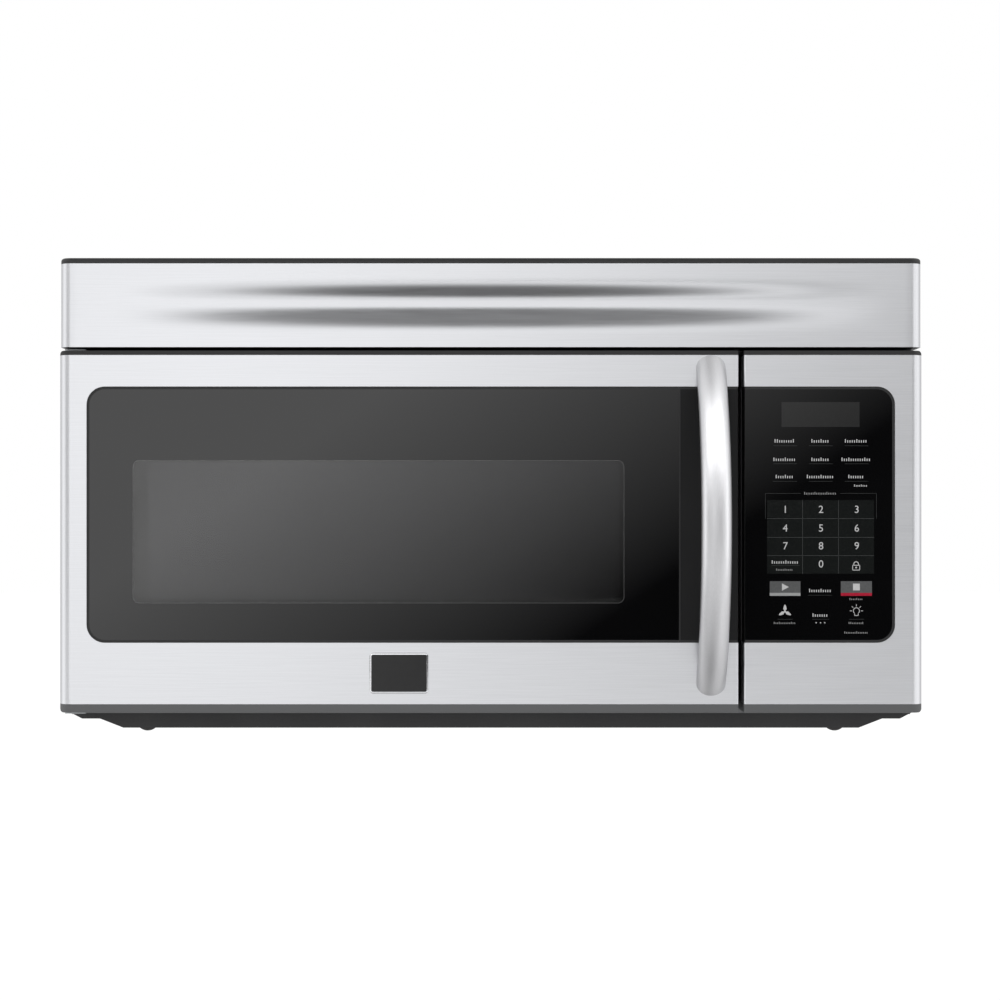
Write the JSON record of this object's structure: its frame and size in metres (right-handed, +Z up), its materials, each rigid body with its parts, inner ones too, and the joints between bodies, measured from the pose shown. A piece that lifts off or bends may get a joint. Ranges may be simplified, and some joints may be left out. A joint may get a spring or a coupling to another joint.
{
  "type": "over the range microwave",
  "caption": "Wall-hung microwave oven with a built-in cooker hood: side-hinged door with a bowed handle, turntable, hood blower, charcoal and grease filters, duct collar and wall plate.",
  "frame": {"origin": "on the wall plane at the middle of the width, level with the feet and the wall plate's lower edge", "axes": "+X to the user's right seen from the front, +Y from the front into the wall, +Z up"},
  "size_m": [0.7596, 0.445, 0.447],
  "materials": {
    "stainless": "fine horizontal brushed stainless steel",
    "handle_steel": "satin polished metal",
    "front_glass": "black tinted glass, polished",
    "front_moulding": "dark grey moulded plastic",
    "vent_moulding": "black moulded plastic",
    "handle_strip": "gloss black plastic",
    "badge_plate": "bright rim round a black face",
    "case_paint": "dark grey textured paint",
    "zinc_steel": "zinc coated sheet steel",
    "oven_enamel": "light grey baked oven paint",
    "door_panel_paint": "black baked paint, perforated",
    "door_film": "clear film",
    "black_plastic": "black moulded plastic",
    "plunger_plastic": "red plastic",
    "screw_steel": "zinc plated screws",
    "black_screw": "black oxide screws",
    "spring_steel": "spring wire",
    "foot_rubber": "soft black rubber",
    "mica": "pressed mica sheet",
    "tube_metal": "plated yoke with aluminium fins",
    "core_steel": "varnished laminations and copper windings",
    "can_aluminium": "drawn can",
    "motor_steel": "plated motor case",
    "drive_plastic": "white heat proof plastic",
    "tray_glass": "clear pressed glass",
    "blower_plastic": "black plastic wheels on a steel shaft",
    "filter_mesh": "expanded aluminium mesh",
    "charcoal": "black charcoal cells",
    "lens": "frosted plastic",
    "lamp_glass": "lamp bulbs in their sockets",
    "board": "printed circuit board"
  },
  "bodies": {
    "case": {"vent_skin": "stainless", "control_skin": "stainless", "control_glass": "front_glass", "control_frame": "front_moulding", "vent_grille": "vent_moulding", "outer_case": "case_paint", "base_pan": "case_paint", "exhaust_adapter": "case_paint", "wall_plate": "zinc_steel", "rear_panel": "zinc_steel", "front_plate": "zinc_steel", "component_shelf": "zinc_steel", "waveguide": "zinc_steel", "fan_shroud": "zinc_steel", "blower_housings": "zinc_steel", "door_hinges": "zinc_steel", "cavity_wrap": "oven_enamel", "cavity_back": "oven_enamel", "latch_bracket": "black_plastic", "microswitches": "black_plastic", "cord_bushing": "black_plastic", "sheet_screws": "screw_steel", "pan_screws": "black_screw", "rubber_feet": "foot_rubber", "waveguide_cover": "mica", "magnetron": "tube_metal", "transformer": "core_steel", "capacitor": "can_aluminium", "turntable_motor": "motor_steel", "blower_motor": "motor_steel", "fan_motor": "motor_steel", "charcoal_filter": "charcoal", "lamp_lenses": "lens", "lamps": "lamp_glass", "control_board": "board"},
    "door": {"door_frame": "front_moulding", "door_skin": "stainless", "door_glass": "front_glass", "handle_trim": "handle_strip", "door_inner_panel": "door_panel_paint", "door_screen": "door_film", "choke_cover": "black_plastic", "handle": "handle_steel", "handle_screws": "screw_steel", "badge": "badge_plate", "latch_spring": "spring_steel"},
    "latch": {"latch_bar": "black_plastic"},
    "plunger_low": {"switch_plunger_low": "plunger_plastic"},
    "plunger_high": {"switch_plunger_high": "plunger_plastic"},
    "coupler": {"turntable_coupler": "drive_plastic"},
    "tray": {"glass_tray": "tray_glass"},
    "ring": {"roller_ring": "drive_plastic"},
    "roller_body_1": {"roller_1": "drive_plastic"},
    "roller_body_2": {"roller_2": "drive_plastic"},
    "roller_body_3": {"roller_3": "drive_plastic"},
    "blower": {"blower_rotor": "blower_plastic"},
    "fan": {"fan_wheel": "blower_plastic"},
    "damper": {"damper_flap": "zinc_steel"},
    "filter_left": {"grease_filter_left": "filter_mesh"},
    "filter_right": {"grease_filter_right": "filter_mesh"}
  },
  "joints": [
    {"name": "door_swing", "type": "hinge", "parent": "case", "child": "door", "pos_m": [-0.36755, -0.371, 0.18115], "axis": [0, 0, -1], "range_deg": [0, 100]},
    {"name": "latch_lift", "type": "slide", "parent": "door", "child": "latch", "axis": [0, 0, 1], "range_m": [0, 0.004], "stiffness_N_per_m": 500, "springref_m": -0.002, "deforming": ["latch_spring"]},
    {"name": "plunger_low_press", "type": "slide", "parent": "case", "child": "plunger_low", "axis": [0, 1, 0], "range_m": [0, 0.0012], "stiffness_N_per_m": 300, "springref_m": -0.0005},
    {"name": "plunger_high_press", "type": "slide", "parent": "case", "child": "plunger_high", "axis": [0, 1, 0], "range_m": [0, 0.0012], "stiffness_N_per_m": 300, "springref_m": -0.0005},
    {"name": "coupler_spin", "type": "hinge", "parent": "case", "child": "coupler", "pos_m": [-0.0845, -0.1835, 0.062], "axis": [0, 0, 1], "continuous": true},
    {"name": "tray_lift", "type": "slide", "parent": "coupler", "child": "tray", "axis": [0, 0, 1], "range_m": [0, 0.05]},
    {"name": "ring_spin", "type": "hinge", "parent": "case", "child": "ring", "pos_m": [-0.0845, -0.1835, 0.0698], "axis": [0, 0, 1], "continuous": true},
    {"name": "roller_1_spin", "type": "hinge", "parent": "ring", "child": "roller_body_1", "pos_m": [-0.0845, -0.079, 0.0698], "axis": [0, 1, 0], "continuous": true},
    {"name": "roller_2_spin", "type": "hinge", "parent": "ring", "child": "roller_body_2", "pos_m": [-0.175, -0.23575, 0.0698], "axis": [-0.866, -0.5, 0], "continuous": true},
    {"name": "roller_3_spin", "type": "hinge", "parent": "ring", "child": "roller_body_3", "pos_m": [0.006, -0.23575, 0.0698], "axis": [0.866, -0.5, 0], "continuous": true},
    {"name": "blower_spin", "type": "hinge", "parent": "case", "child": "blower", "pos_m": [0, -0.092, 0.3595], "axis": [1, 0, 0], "continuous": true},
    {"name": "fan_spin", "type": "hinge", "parent": "case", "child": "fan", "pos_m": [0.2794, -0.062, 0.186], "axis": [0, 1, 0], "continuous": true},
    {"name": "damper_swing", "type": "hinge", "parent": "case", "child": "damper", "pos_m": [0, -0.1035, 0.431], "axis": [1, 0, 0], "range_deg": [0, 80]},
    {"name": "filter_left_tilt", "type": "hinge", "parent": "case", "child": "filter_left", "pos_m": [-0.196, -0.086, 0.0041], "axis": [1, 0, 0], "range_deg": [0, 60]},
    {"name": "filter_right_tilt", "type": "hinge", "parent": "case", "child": "filter_right", "pos_m": [0.196, -0.086, 0.0041], "axis": [1, 0, 0], "range_deg": [0, 60]}
  ],
  "couplings": [
    {"joint": "ring_spin", "follows": "coupler_spin", "ratio": 0.5},
    {"joint": "roller_1_spin", "follows": "coupler_spin", "ratio": -6.9667},
    {"joint": "roller_2_spin", "follows": "coupler_spin", "ratio": -6.9667},
    {"joint": "roller_3_spin", "follows": "coupler_spin", "ratio": -6.9667}
  ]
}
